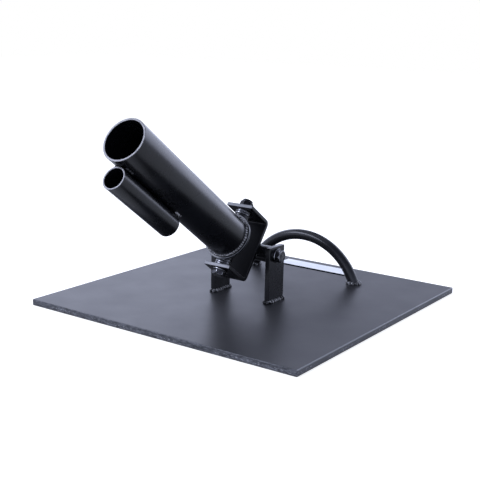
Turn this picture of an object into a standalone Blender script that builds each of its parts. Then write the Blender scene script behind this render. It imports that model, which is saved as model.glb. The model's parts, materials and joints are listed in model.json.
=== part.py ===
"""Barbell pivot base plate: a flat steel plate that carries two bar tubes on a tilt and swivel joint.

Run it with blender --background --python part.py, or from Blender's text editor.
Lengths are in metres and +Z is up. The origin is the centre of the plate's underside, X runs along
the pivot bolt, the tubes point to -Y and upwards, and the carry handle stands on the +Y side.
"""

import math

import bmesh
import bpy
from mathutils import Matrix, Vector

# Base plate
PLATE_SIDE = 0.450
PLATE_THICKNESS = 0.009
PLATE_CORNER_RADIUS = 0.002
PLATE_EDGE_RADIUS = 0.0012

# Uprights, flat bar welded to the plate
UPRIGHT_WIDTH = 0.038
UPRIGHT_THICKNESS = 0.0075
UPRIGHT_ABOVE_PIVOT = 0.0135
UPRIGHT_CORNER_RADIUS = 0.002
UPRIGHT_GAP = 0.089

# Where the tilt axis lies, and how the tubes are posed at rest
PIVOT_Y = -0.010
PIVOT_Z = 0.077
TUBE_ELEVATION = math.radians(36.0)
SWIVEL_ANGLE = math.radians(0.5)

# Metric fasteners, all of one size
BOLT_RADIUS = 0.005
BOLT_HOLE_RADIUS = 0.0055
HEX_ACROSS_FLATS = 0.017
BOLT_HEAD_HEIGHT = 0.0065
BOLT_BEYOND_NUT = 0.001
LOCK_NUT_HEX_HEIGHT = 0.007
LOCK_NUT_HEIGHT = 0.010
LOCK_NUT_COLLAR_RADIUS = 0.0075
WASHER_RADIUS = 0.0105
WASHER_THICKNESS = 0.002

# Barrel that turns on the pivot bolt
PIVOT_BARREL_RADIUS = 0.012

# Yoke bracket, one flat bar bent into a U and welded a little to the right of the barrel's middle
YOKE_OFFSET_X = 0.005
YOKE_WIDTH = 0.0435
YOKE_THICKNESS = 0.005
YOKE_INNER_TOP = 0.0466
YOKE_INNER_BOTTOM = 0.041
YOKE_UPPER_TIP_AHEAD = 0.015
YOKE_LOWER_TIP_AHEAD = 0.012
YOKE_WEB_BEHIND = 0.0385
YOKE_BEND_RADIUS = 0.008
PIVOT_ABOVE_TUBE_AXIS = 0.0079

# Barrel that turns on the swivel bolt, with its stacks of thick washers
SWIVEL_BARREL_RADIUS = 0.011
SHIM_RADIUS = 0.011
SHIM_THICKNESS = 0.003
SHIMS_ABOVE = 2
SHIMS_BELOW = 3

# Tubes and the plate that closes the large one
END_PLATE_RADIUS = 0.035
END_PLATE_THICKNESS = 0.004
LARGE_TUBE_RADIUS = 0.03015
LARGE_TUBE_WALL = 0.003
LARGE_MOUTH_AHEAD = 0.280
SMALL_TUBE_RADIUS = 0.0159
SMALL_TUBE_WALL = 0.0025
SMALL_TUBE_LENGTH = 0.128
SMALL_MOUTH_SETBACK = 0.011

# Carry handle, round bar bent to an arc
HANDLE_BAR_RADIUS = 0.0083
HANDLE_HALF_SPAN = 0.094
HANDLE_HEIGHT = 0.0637
HANDLE_FROM_REAR_EDGE = 0.0795

# Weld beads
FOOT_WELD_LEG = 0.004
HANDLE_WELD_LEG = 0.0045
TUBE_WELD_LEG = 0.0038
BARREL_WELD_ANGLE = math.radians(48.0)
STITCH_WELD_LENGTH = 0.024
STITCH_WELD_REACH = math.radians(24.0)

# Clearances and finish
SEAT_GAP = 0.0003
THREAD_GAP = 0.0003
EDGE_BREAK = 0.0006
BEVEL_ANGLE = math.radians(40.0)
SMOOTH_ANGLE = math.radians(35.0)

# Facets round a circle
FINE_SIDES = 60
ROUND_SIDES = 40
SMALL_SIDES = 28
ARC_STEPS = 8
HANDLE_STEPS = 36

# Sizes that follow from the ones above
PLATE_TOP = PLATE_THICKNESS
UPRIGHT_TOP = PIVOT_Z + UPRIGHT_ABOVE_PIVOT
UPRIGHT_X = UPRIGHT_GAP / 2 + UPRIGHT_THICKNESS / 2
UPRIGHT_OUTER_X = UPRIGHT_GAP / 2 + UPRIGHT_THICKNESS
THRUST_WASHER_X = UPRIGHT_GAP / 2 - SEAT_GAP - WASHER_THICKNESS
PIVOT_BARREL_LENGTH = 2 * (THRUST_WASHER_X - SEAT_GAP)
HEX_CORNER_RADIUS = HEX_ACROSS_FLATS / math.sqrt(3)
PIVOT_BEHIND_SWIVEL = YOKE_WEB_BEHIND + SEAT_GAP + PIVOT_BARREL_RADIUS
YOKE_OUTER_TOP = YOKE_INNER_TOP + YOKE_THICKNESS
YOKE_OUTER_BOTTOM = YOKE_INNER_BOTTOM + YOKE_THICKNESS
SHIM_PITCH = SHIM_THICKNESS + SEAT_GAP
SWIVEL_BARREL_TOP = YOKE_INNER_TOP - SHIMS_ABOVE * SHIM_PITCH - SEAT_GAP
SWIVEL_BARREL_BOTTOM = -YOKE_INNER_BOTTOM + SHIMS_BELOW * SHIM_PITCH + SEAT_GAP
END_PLATE_REAR = SWIVEL_BARREL_RADIUS + SEAT_GAP
END_PLATE_FRONT = END_PLATE_REAR + END_PLATE_THICKNESS
LARGE_TUBE_REAR = END_PLATE_FRONT + SEAT_GAP
TUBE_SPACING = LARGE_TUBE_RADIUS + SMALL_TUBE_RADIUS + SEAT_GAP
SMALL_MOUTH_AHEAD = LARGE_MOUTH_AHEAD - SMALL_MOUTH_SETBACK
SMALL_TUBE_REAR = SMALL_MOUTH_AHEAD - SMALL_TUBE_LENGTH
HANDLE_Y = PLATE_SIDE / 2 - HANDLE_FROM_REAR_EDGE
HANDLE_ARC_RADIUS = (HANDLE_HALF_SPAN ** 2 + HANDLE_HEIGHT ** 2) / (2 * HANDLE_HEIGHT)
HANDLE_ARC_CENTRE_Z = PLATE_TOP + HANDLE_HEIGHT - HANDLE_ARC_RADIUS


def clear_scene():
    """Take away whatever the scene holds."""
    for old in list(bpy.data.objects):
        bpy.data.objects.remove(old, do_unlink=True)


def material(name, colour, roughness, metallic):
    """A Principled material of one colour."""
    made = bpy.data.materials.new(name)
    made.use_nodes = True
    shader = made.node_tree.nodes["Principled BSDF"]
    shader.inputs["Base Color"].default_value = (*colour, 1.0)
    shader.inputs["Roughness"].default_value = roughness
    shader.inputs["Metallic"].default_value = metallic
    made.diffuse_color = (*colour, 1.0)
    return made


def link(name, bm, finish=None, parent=None):
    """Turn a bmesh into a linked object, with its faces pointing out and round faces shaded smooth."""
    bmesh.ops.remove_doubles(bm, verts=bm.verts, dist=1e-7)
    bmesh.ops.recalc_face_normals(bm, faces=bm.faces)
    mesh = bpy.data.meshes.new(name)
    bm.to_mesh(mesh)
    bm.free()
    mesh.shade_smooth()
    mesh.set_sharp_from_angle(angle=SMOOTH_ANGLE)
    piece = bpy.data.objects.new(name, mesh)
    bpy.context.scene.collection.objects.link(piece)
    if finish is not None:
        mesh.materials.append(finish)
    piece.parent = parent
    return piece


def cutter(name, bm, parent=None):
    """A helper shape for Boolean modifiers, which isn't part of the model."""
    helper = link(name, bm, parent=parent)
    helper.hide_render = True
    helper.display_type = "WIRE"
    return helper


def boolean(piece, operation, helper):
    """Cut, join or intersect a piece with a helper shape."""
    step = piece.modifiers.new(operation.title() + " " + helper.name, "BOOLEAN")
    step.operation = operation
    step.solver = "EXACT"
    step.object = helper


def break_edges(piece, width=EDGE_BREAK, segments=1):
    """Round off the sharp edges by a small bevel."""
    step = piece.modifiers.new("Broken edges", "BEVEL")
    step.width = width
    step.segments = segments
    step.limit_method = "ANGLE"
    step.angle_limit = BEVEL_ANGLE
    step.use_clamp_overlap = True


def empty(name, location, rotation, parent=None):
    """A frame for the pieces that move together, with its origin on their joint's axis."""
    frame = bpy.data.objects.new(name, None)
    frame.location = location
    frame.rotation_euler = rotation
    frame.parent = parent
    bpy.context.scene.collection.objects.link(frame)
    return frame


def arc(centre, radius, start, end, steps=ARC_STEPS):
    """Points along an arc in a plane, from one angle to another."""
    points = []
    for index in range(steps + 1):
        angle = start + (end - start) * index / steps
        points.append((centre[0] + radius * math.cos(angle), centre[1] + radius * math.sin(angle)))
    return points


def rounded_rectangle(half_width, half_height, radius):
    """The outline of a rectangle with round corners, counterclockwise."""
    points = []
    for quarter, (side_x, side_y) in enumerate(((1, 1), (-1, 1), (-1, -1), (1, -1))):
        centre = (side_x * (half_width - radius), side_y * (half_height - radius))
        points += arc(centre, radius, quarter * math.pi / 2, (quarter + 1) * math.pi / 2)
    return points


def extruded(outline, length, to_3d):
    """A prism from an outline; to_3d turns a point of the outline and a depth into a place."""
    bm = bmesh.new()
    bottom = [bm.verts.new(to_3d(point, -length / 2)) for point in outline]
    face = bm.faces.new(bottom)
    swept = bmesh.ops.extrude_face_region(bm, geom=[face])
    move = Vector(to_3d(outline[0], length / 2)) - Vector(to_3d(outline[0], -length / 2))
    top = [item for item in swept["geom"] if isinstance(item, bmesh.types.BMVert)]
    bmesh.ops.translate(bm, verts=top, vec=move)
    return bm


def turned(profile, sides, closed=False):
    """A turned shape about Z from (radius, height) points; a closed profile makes a ring."""
    bm = bmesh.new()
    rings = []
    for radius, height in profile:
        if radius == 0.0:
            rings.append([bm.verts.new((0.0, 0.0, height))])
            continue
        ring = []
        for index in range(sides):
            angle = 2 * math.pi * index / sides
            ring.append(bm.verts.new((radius * math.cos(angle), radius * math.sin(angle), height)))
        rings.append(ring)
    pairs = list(zip(rings, rings[1:]))
    if closed:
        pairs.append((rings[-1], rings[0]))
    for lower, upper in pairs:
        for index in range(sides):
            following = (index + 1) % sides
            corners = [lower[index % len(lower)], lower[following % len(lower)],
                       upper[following % len(upper)], upper[index % len(upper)]]
            unique = [corner for place, corner in enumerate(corners) if corner not in corners[:place]]
            bm.faces.new(unique)
    return bm


def place(bm, matrix):
    """Turn and move a bmesh and hand it back."""
    bmesh.ops.transform(bm, matrix=matrix, verts=bm.verts)
    return bm


def cylinder(radius, low, high, sides):
    """A plain solid cylinder about Z."""
    return turned([(0.0, low), (radius, low), (radius, high), (0.0, high)], sides)


def along_x(x):
    """Move a shape made about Z so that it points along +X from x."""
    return Matrix.Translation((x, 0.0, 0.0)) @ Matrix.Rotation(math.pi / 2, 4, "Y")


def along_minus_x(x):
    """Move a shape made about Z so that it points along -X from x."""
    return Matrix.Translation((x, 0.0, 0.0)) @ Matrix.Rotation(-math.pi / 2, 4, "Y")


def along_minus_y(y, z=0.0):
    """Move a shape made about Z so that it points along -Y from y."""
    return Matrix.Translation((0.0, y, z)) @ Matrix.Rotation(math.pi / 2, 4, "X")


def upside_down(z):
    """Move a shape made about Z so that it points down from z."""
    return Matrix.Translation((0.0, 0.0, z)) @ Matrix.Rotation(math.pi, 4, "X")


def washer_mesh(radius=WASHER_RADIUS, thickness=WASHER_THICKNESS):
    """A flat washer about Z, standing on z = 0, with its outer edges broken."""
    chamfer = 0.15 * thickness
    return turned([
        (BOLT_HOLE_RADIUS, 0.0),
        (radius - chamfer, 0.0),
        (radius, chamfer),
        (radius, thickness - chamfer),
        (radius - chamfer, thickness),
        (BOLT_HOLE_RADIUS, thickness),
    ], SMALL_SIDES, closed=True)


def hexagon_mesh(height):
    """A hexagonal prism about Z, standing on z = 0."""
    return turned([(0.0, 0.0), (HEX_CORNER_RADIUS, 0.0), (HEX_CORNER_RADIUS, height), (0.0, height)], 6)


def chamfer_mesh(height, both_ends):
    """The turned body that trims a hexagon's corners at 30 degrees; it runs past the hexagon's faces.

    It is turned by half a facet so that none of its edges meets a corner of the hexagon.
    """
    past = 0.0005
    flat_radius = 0.95 * HEX_ACROSS_FLATS / 2
    outer = HEX_CORNER_RADIUS + 0.001
    drop = (outer - flat_radius) * math.tan(math.radians(30.0))
    end_radius = flat_radius - past / math.tan(math.radians(30.0))
    if both_ends:
        low = [(0.0, -past), (end_radius, -past), (outer, drop)]
    else:
        low = [(0.0, -past), (outer, -past)]
    top = [(outer, height - drop), (end_radius, height + past), (0.0, height + past)]
    return place(turned(low + top, ROUND_SIDES), Matrix.Rotation(math.pi / ROUND_SIDES, 4, "Z"))


def make_bolt(name, matrix, grip, finish, parent):
    """A hex bolt whose head stands on z = 0 and whose shank runs down through the grip and nut."""
    length = grip + LOCK_NUT_HEIGHT + BOLT_BEYOND_NUT
    point = 0.0012
    shank = cylinder(BOLT_RADIUS, -length + point, BOLT_HEAD_HEIGHT / 2, SMALL_SIDES)
    for vertex in shank.verts:
        if vertex.co.z < -length + 1.5 * point and vertex.co.xy.length < 1e-6:
            vertex.co.z -= point
    bolt = link(name, place(hexagon_mesh(BOLT_HEAD_HEIGHT), matrix), finish, parent)
    trim = cutter(name + "_trim", place(chamfer_mesh(BOLT_HEAD_HEIGHT, False), matrix), parent)
    core = cutter(name + "_shank", place(shank, matrix), parent)
    boolean(bolt, "INTERSECT", trim)
    boolean(bolt, "UNION", core)
    return bolt


def make_lock_nut(name, matrix, finish, parent):
    """A lock nut that stands on z = 0, with a round collar above its hexagon."""
    collar_top = LOCK_NUT_HEIGHT
    collar_edge = 0.0012
    collar = turned([
        (0.0, LOCK_NUT_HEX_HEIGHT / 2),
        (LOCK_NUT_COLLAR_RADIUS, LOCK_NUT_HEX_HEIGHT / 2),
        (LOCK_NUT_COLLAR_RADIUS, collar_top - collar_edge),
        (LOCK_NUT_COLLAR_RADIUS - collar_edge, collar_top),
        (0.0, collar_top),
    ], ROUND_SIDES)
    bore = cylinder(BOLT_RADIUS + THREAD_GAP, -0.001, collar_top + 0.001, SMALL_SIDES)
    nut = link(name, place(hexagon_mesh(LOCK_NUT_HEX_HEIGHT), matrix), finish, parent)
    trim = cutter(name + "_trim", place(chamfer_mesh(LOCK_NUT_HEX_HEIGHT, True), matrix), parent)
    ring = cutter(name + "_collar", place(collar, matrix), parent)
    hole = cutter(name + "_bore", place(bore, matrix), parent)
    boolean(nut, "INTERSECT", trim)
    boolean(nut, "UNION", ring)
    boolean(nut, "DIFFERENCE", hole)
    return nut


def tube_mesh(radius, wall, low, high, sides):
    """An open tube about Z with its end edges slightly broken."""
    lip = 0.15 * wall
    bore = radius - wall
    return turned([
        (bore + lip, low),
        (radius - lip, low),
        (radius, low + lip),
        (radius, high - lip),
        (radius - lip, high),
        (bore + lip, high),
        (bore, high - lip),
        (bore, low + lip),
    ], sides, closed=True)


def make_plate(finish):
    """The square base plate with round corners and softened edges."""
    outline = rounded_rectangle(PLATE_SIDE / 2, PLATE_SIDE / 2, PLATE_CORNER_RADIUS)
    bm = extruded(outline, PLATE_THICKNESS, lambda p, depth: (p[0], p[1], PLATE_THICKNESS / 2 + depth))
    plate = link("base_plate", bm, finish)
    break_edges(plate, PLATE_EDGE_RADIUS, 2)


def make_upright(name, side, finish):
    """A flat bar upright with the pivot bolt's hole and softened top corners."""
    low = PLATE_TOP + SEAT_GAP
    half = UPRIGHT_WIDTH / 2
    corner = UPRIGHT_CORNER_RADIUS
    outline = [(-half, low), (half, low)]
    outline += arc((half - corner, UPRIGHT_TOP - corner), corner, 0.0, math.pi / 2, 4)
    outline += arc((corner - half, UPRIGHT_TOP - corner), corner, math.pi / 2, math.pi, 4)
    bm = extruded(outline, UPRIGHT_THICKNESS, lambda p, depth: (side * UPRIGHT_X + depth, PIVOT_Y + p[0], p[1]))
    upright = link(name, bm, finish)
    hole = cylinder(BOLT_HOLE_RADIUS, -UPRIGHT_THICKNESS, UPRIGHT_THICKNESS, SMALL_SIDES)
    at_hole = Matrix.Translation((side * UPRIGHT_X, PIVOT_Y, PIVOT_Z)) @ Matrix.Rotation(math.pi / 2, 4, "Y")
    break_edges(upright)
    boolean(upright, "DIFFERENCE", cutter(name + "_hole", place(hole, at_hole)))


def make_foot_weld(name, side, finish):
    """A fillet weld all round an upright's foot."""
    section = [(SEAT_GAP, SEAT_GAP), (FOOT_WELD_LEG, SEAT_GAP), (0.6 * FOOT_WELD_LEG, 0.6 * FOOT_WELD_LEG),
               (SEAT_GAP, FOOT_WELD_LEG)]
    bm = bmesh.new()
    loops = []
    for offset, height in section:
        outline = rounded_rectangle(UPRIGHT_THICKNESS / 2 + offset, UPRIGHT_WIDTH / 2 + offset, offset)
        loops.append([bm.verts.new((side * UPRIGHT_X + x, PIVOT_Y + y, PLATE_TOP + height)) for x, y in outline])
    for first, second in zip(loops, loops[1:] + loops[:1]):
        for index in range(len(first)):
            following = (index + 1) % len(first)
            bm.faces.new((first[index], first[following], second[following], second[index]))
    link(name, bm, finish)


def handle_bar(radius, extra_angle):
    """Round bar bent to the handle's arc, run on past the plate's face by an extra angle."""
    foot = math.asin((PLATE_TOP - HANDLE_ARC_CENTRE_Z) / HANDLE_ARC_RADIUS)
    start = foot - extra_angle
    end = math.pi - start
    bm = bmesh.new()
    rings = []
    for step in range(HANDLE_STEPS + 1):
        angle = start + (end - start) * step / HANDLE_STEPS
        ring = []
        for index in range(SMALL_SIDES):
            turn = 2 * math.pi * index / SMALL_SIDES
            reach = HANDLE_ARC_RADIUS + radius * math.cos(turn)
            ring.append(bm.verts.new((reach * math.cos(angle), HANDLE_Y + radius * math.sin(turn),
                                      HANDLE_ARC_CENTRE_Z + reach * math.sin(angle))))
        rings.append(ring)
    for first, second in zip(rings, rings[1:]):
        for index in range(SMALL_SIDES):
            following = (index + 1) % SMALL_SIDES
            bm.faces.new((first[index], first[following], second[following], second[index]))
    bm.faces.new(rings[0])
    bm.faces.new(rings[-1])
    return bm


def make_handle(bar_finish, weld_finish):
    """The carry handle, cut level at the plate's face, and the weld bead round each foot."""
    past_face = 0.12
    handle = link("carry_handle", handle_bar(HANDLE_BAR_RADIUS, past_face), bar_finish)
    block_half = HANDLE_HALF_SPAN + 0.03
    block = rounded_rectangle(block_half, 4 * HANDLE_BAR_RADIUS, HANDLE_BAR_RADIUS)
    block_top = PLATE_TOP + SEAT_GAP
    below = extruded(block, 0.06, lambda p, depth: (p[0], HANDLE_Y + p[1], block_top - 0.03 + depth))
    boolean(handle, "DIFFERENCE", cutter("carry_handle_foot_cut", below))
    grown_bar = cutter("handle_weld_bar", handle_bar(HANDLE_BAR_RADIUS + SEAT_GAP, past_face))
    for name, side in (("handle_weld_right", 1), ("handle_weld_left", -1)):
        base = HANDLE_BAR_RADIUS + HANDLE_WELD_LEG
        mound = turned([
            (0.0, SEAT_GAP),
            (base, SEAT_GAP),
            (base - 0.35 * HANDLE_WELD_LEG, 0.6 * HANDLE_WELD_LEG),
            (base - 0.8 * HANDLE_WELD_LEG, HANDLE_WELD_LEG),
            (0.0, HANDLE_WELD_LEG),
        ], ROUND_SIDES)
        weld = link(name, place(mound, Matrix.Translation((side * HANDLE_HALF_SPAN, HANDLE_Y, PLATE_TOP))),
                    weld_finish)
        boolean(weld, "DIFFERENCE", grown_bar)


def make_pivot_hardware(pivot, finish, nut_finish):
    """The pivot bolt through both uprights, its washers and its lock nut."""
    outer_washer = UPRIGHT_OUTER_X + SEAT_GAP
    seat = outer_washer + WASHER_THICKNESS + SEAT_GAP
    make_bolt("pivot_bolt", along_x(seat), 2 * seat, finish, pivot)
    make_lock_nut("pivot_lock_nut", along_minus_x(-seat), nut_finish, pivot)
    link("pivot_washer_right", place(washer_mesh(), along_x(outer_washer)), finish, pivot)
    link("pivot_washer_left", place(washer_mesh(), along_minus_x(-outer_washer)), finish, pivot)
    link("thrust_washer_right", place(washer_mesh(), along_x(THRUST_WASHER_X)), finish, pivot)
    link("thrust_washer_left", place(washer_mesh(), along_minus_x(-THRUST_WASHER_X)), finish, pivot)


def yoke_outline():
    """The yoke bracket's side outline as (y, z) about the swivel point, with a tight bend at either end."""
    bend_y = YOKE_WEB_BEHIND - YOKE_BEND_RADIUS
    upper = (bend_y, YOKE_OUTER_TOP - YOKE_BEND_RADIUS)
    lower = (bend_y, YOKE_BEND_RADIUS - YOKE_OUTER_BOTTOM)
    inner_radius = YOKE_BEND_RADIUS - YOKE_THICKNESS
    points = [(-YOKE_UPPER_TIP_AHEAD, YOKE_INNER_TOP), (-YOKE_UPPER_TIP_AHEAD, YOKE_OUTER_TOP)]
    points += arc(upper, YOKE_BEND_RADIUS, math.pi / 2, 0.0)
    points += arc(lower, YOKE_BEND_RADIUS, 0.0, -math.pi / 2)
    points += [(-YOKE_LOWER_TIP_AHEAD, -YOKE_OUTER_BOTTOM), (-YOKE_LOWER_TIP_AHEAD, -YOKE_INNER_BOTTOM)]
    points += arc(lower, inner_radius, -math.pi / 2, 0.0)
    points += arc(upper, inner_radius, 0.0, math.pi / 2)
    return points


def make_yoke(yoke, swivel_point, finish, weld_finish):
    """The bent bracket, the pivot barrel on its back and the two weld beads between them."""
    bm = extruded(yoke_outline(), YOKE_WIDTH, lambda p, depth: (depth, p[0], p[1]))
    bracket = link("yoke_bracket", place(bm, Matrix.Translation(swivel_point)), finish, yoke)
    hole = cylinder(BOLT_HOLE_RADIUS, -2 * YOKE_OUTER_BOTTOM, 2 * YOKE_OUTER_TOP, SMALL_SIDES)
    break_edges(bracket)
    boolean(bracket, "DIFFERENCE", cutter("yoke_bolt_holes", place(hole, Matrix.Translation(swivel_point)), yoke))
    half = PIVOT_BARREL_LENGTH / 2
    barrel = tube_mesh(PIVOT_BARREL_RADIUS, PIVOT_BARREL_RADIUS - BOLT_HOLE_RADIUS, -half, half, ROUND_SIDES)
    link("pivot_barrel", place(barrel, along_x(0.0)), finish, yoke)
    for name, side in (("pivot_barrel_weld_upper", 1), ("pivot_barrel_weld_lower", -1)):
        section = flat_valley_section(PIVOT_BARREL_RADIUS, side)
        to_yoke = lambda p, depth: (YOKE_OFFSET_X + depth, p[0] - PIVOT_BARREL_RADIUS - SEAT_GAP, p[1])
        link(name, extruded(section, YOKE_WIDTH, to_yoke), weld_finish, yoke)


def flat_valley_section(radius, side):
    """Section of a bead between a flat at p = 0 and a round of this radius that stands SEAT_GAP off it.

    The first coordinate is the distance from the flat, the second runs along it on the given side.
    """
    grown = radius + SEAT_GAP
    start = math.acos(radius / grown)
    around = []
    for step in range(ARC_STEPS + 1):
        angle = start + (BARREL_WELD_ANGLE - start) * step / ARC_STEPS
        around.append((grown - grown * math.cos(angle), side * grown * math.sin(angle)))
    top_height, top_along = around[-1]
    bulge = (0.55 * top_height, top_along + side * 0.45 * top_height)
    toe = (SEAT_GAP, top_along + side * 0.75 * top_height)
    return around + [bulge, toe]


def round_valley_section(side):
    """Section of a stitch weld in the valley between the two tubes, about the large tube's axis."""
    large = LARGE_TUBE_RADIUS + SEAT_GAP
    small = SMALL_TUBE_RADIUS + SEAT_GAP
    tip_large = math.acos((large ** 2 + TUBE_SPACING ** 2 - small ** 2) / (2 * large * TUBE_SPACING))
    tip_small = math.acos((small ** 2 + TUBE_SPACING ** 2 - large ** 2) / (2 * small * TUBE_SPACING))
    points = []
    for step in range(ARC_STEPS + 1):
        angle = tip_large + STITCH_WELD_REACH * step / ARC_STEPS
        points.append((side * large * math.sin(angle), -large * math.cos(angle)))
    reach_small = STITCH_WELD_REACH * large / small
    for step in range(ARC_STEPS, 0, -1):
        angle = tip_small + reach_small * step / ARC_STEPS
        points.append((side * small * math.sin(angle), -TUBE_SPACING + small * math.cos(angle)))
    return points


def make_swivel_hardware(yoke, swivel_point, finish, nut_finish):
    """The swivel bolt through both flanges, head below, with its washers and its lock nut on top."""
    upper_washer = YOKE_OUTER_TOP + SEAT_GAP
    lower_washer = YOKE_OUTER_BOTTOM + SEAT_GAP
    nut_seat = upper_washer + WASHER_THICKNESS + SEAT_GAP
    head_seat = lower_washer + WASHER_THICKNESS + SEAT_GAP
    here = Matrix.Translation(swivel_point)
    make_bolt("swivel_bolt", here @ upside_down(-head_seat), head_seat + nut_seat, finish, yoke)
    make_lock_nut("swivel_lock_nut", here @ Matrix.Translation((0.0, 0.0, nut_seat)), nut_finish, yoke)
    link("swivel_washer_upper", place(washer_mesh(), here @ Matrix.Translation((0.0, 0.0, upper_washer))),
         finish, yoke)
    link("swivel_washer_lower", place(washer_mesh(), here @ upside_down(-lower_washer)), finish, yoke)


def make_socket(socket, finish, hardware_finish, weld_finish):
    """The tubes, the end plate and the swivel barrel, built about the swivel point."""
    large = tube_mesh(LARGE_TUBE_RADIUS, LARGE_TUBE_WALL, LARGE_TUBE_REAR, LARGE_MOUTH_AHEAD, FINE_SIDES)
    link("large_bar_tube", place(large, along_minus_y(0.0)), finish, socket)
    small = tube_mesh(SMALL_TUBE_RADIUS, SMALL_TUBE_WALL, SMALL_TUBE_REAR, SMALL_MOUTH_AHEAD, ROUND_SIDES)
    link("small_bar_tube", place(small, along_minus_y(0.0, -TUBE_SPACING)), finish, socket)
    edge = EDGE_BREAK
    disc = turned([
        (0.0, END_PLATE_REAR),
        (END_PLATE_RADIUS - edge, END_PLATE_REAR),
        (END_PLATE_RADIUS, END_PLATE_REAR + edge),
        (END_PLATE_RADIUS, END_PLATE_FRONT - edge),
        (END_PLATE_RADIUS - edge, END_PLATE_FRONT),
        (0.0, END_PLATE_FRONT),
    ], FINE_SIDES)
    link("tube_end_plate", place(disc, along_minus_y(0.0)), finish, socket)
    inner = LARGE_TUBE_RADIUS + SEAT_GAP
    bead = turned([
        (inner, LARGE_TUBE_REAR),
        (LARGE_TUBE_RADIUS + TUBE_WELD_LEG, LARGE_TUBE_REAR),
        (LARGE_TUBE_RADIUS + 0.62 * TUBE_WELD_LEG, LARGE_TUBE_REAR + 0.62 * TUBE_WELD_LEG),
        (inner, LARGE_TUBE_REAR + TUBE_WELD_LEG),
    ], FINE_SIDES, closed=True)
    link("end_plate_weld", place(bead, along_minus_y(0.0)), weld_finish, socket)
    barrel = tube_mesh(SWIVEL_BARREL_RADIUS, SWIVEL_BARREL_RADIUS - BOLT_HOLE_RADIUS, SWIVEL_BARREL_BOTTOM,
                       SWIVEL_BARREL_TOP, ROUND_SIDES)
    link("swivel_barrel", barrel, finish, socket)
    weld_length = 2 * math.sqrt(END_PLATE_RADIUS ** 2 - (1.6 * SWIVEL_BARREL_RADIUS) ** 2)
    for name, side in (("swivel_barrel_weld_right", 1), ("swivel_barrel_weld_left", -1)):
        section = flat_valley_section(SWIVEL_BARREL_RADIUS, side)
        to_socket = lambda p, depth: (p[1], p[0] - END_PLATE_REAR, depth)
        link(name, extruded(section, weld_length, to_socket), weld_finish, socket)
    for name, side in (("small_tube_weld_right", 1), ("small_tube_weld_left", -1)):
        middle = -(SMALL_TUBE_REAR + STITCH_WELD_LENGTH / 2)
        stitch = extruded(round_valley_section(side), STITCH_WELD_LENGTH,
                          lambda p, depth: (p[0], middle + depth, p[1]))
        link(name, stitch, weld_finish, socket)
    for index in range(SHIMS_ABOVE):
        low = YOKE_INNER_TOP - (index + 1) * SHIM_PITCH
        make_shim("upper_shim_%d" % (index + 1), low, hardware_finish, socket)
    for index in range(SHIMS_BELOW):
        low = -YOKE_INNER_BOTTOM + SEAT_GAP + index * SHIM_PITCH
        make_shim("lower_shim_%d" % (index + 1), low, hardware_finish, socket)


def make_shim(name, low, finish, socket):
    """A thick washer on the swivel bolt, between a flange and the barrel."""
    link(name, place(washer_mesh(SHIM_RADIUS, SHIM_THICKNESS), Matrix.Translation((0.0, 0.0, low))), finish, socket)


def main():
    """Build the whole object."""
    clear_scene()
    coat = material("satin_black_coat", (0.020, 0.021, 0.025), 0.42, 0.0)
    weld_coat = material("coated_weld", (0.024, 0.025, 0.029), 0.38, 0.0)
    black_steel = material("black_steel", (0.045, 0.045, 0.050), 0.38, 0.9)
    grey_steel = material("grey_steel", (0.16, 0.16, 0.17), 0.40, 0.9)

    make_plate(coat)
    for name, side in (("right", 1), ("left", -1)):
        make_upright("upright_" + name, side, coat)
        make_foot_weld("upright_weld_" + name, side, weld_coat)
    make_handle(coat, weld_coat)

    pivot = empty("pivot_axis", (0.0, PIVOT_Y, PIVOT_Z), (0.0, 0.0, 0.0))
    make_pivot_hardware(pivot, black_steel, grey_steel)

    yoke = empty("tilt_frame", (0.0, PIVOT_Y, PIVOT_Z), (-TUBE_ELEVATION, 0.0, 0.0))
    swivel_point = Vector((YOKE_OFFSET_X, -PIVOT_BEHIND_SWIVEL, -PIVOT_ABOVE_TUBE_AXIS))
    make_yoke(yoke, swivel_point, coat, weld_coat)
    make_swivel_hardware(yoke, swivel_point, black_steel, grey_steel)

    socket = empty("swivel_frame", swivel_point, (0.0, 0.0, SWIVEL_ANGLE), yoke)
    make_socket(socket, coat, black_steel, weld_coat)
    bpy.context.view_layer.update()
    swivel_world = socket.matrix_world.translation
    print("swivel point", [round(value, 5) for value in swivel_world])


main()
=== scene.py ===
# %% [markdown]
# # Barbell pivot base plate
#
# This lesson dresses a finished mechanical model. The real object is a square steel plate with two
# uprights. A yoke tilts between them, and a pair of bar tubes swivels in the yoke. The mechanical model
# already has every piece at its real size and place. Here each piece gets its soft edges, its weld
# ripples and its finish, and then the camera and the lights are set up.
#
# All lengths are in metres, and Z is up.

# %% Load the frame
import json
import math
import random

import bmesh
import bpy
from mathutils import Matrix, Vector


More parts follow.
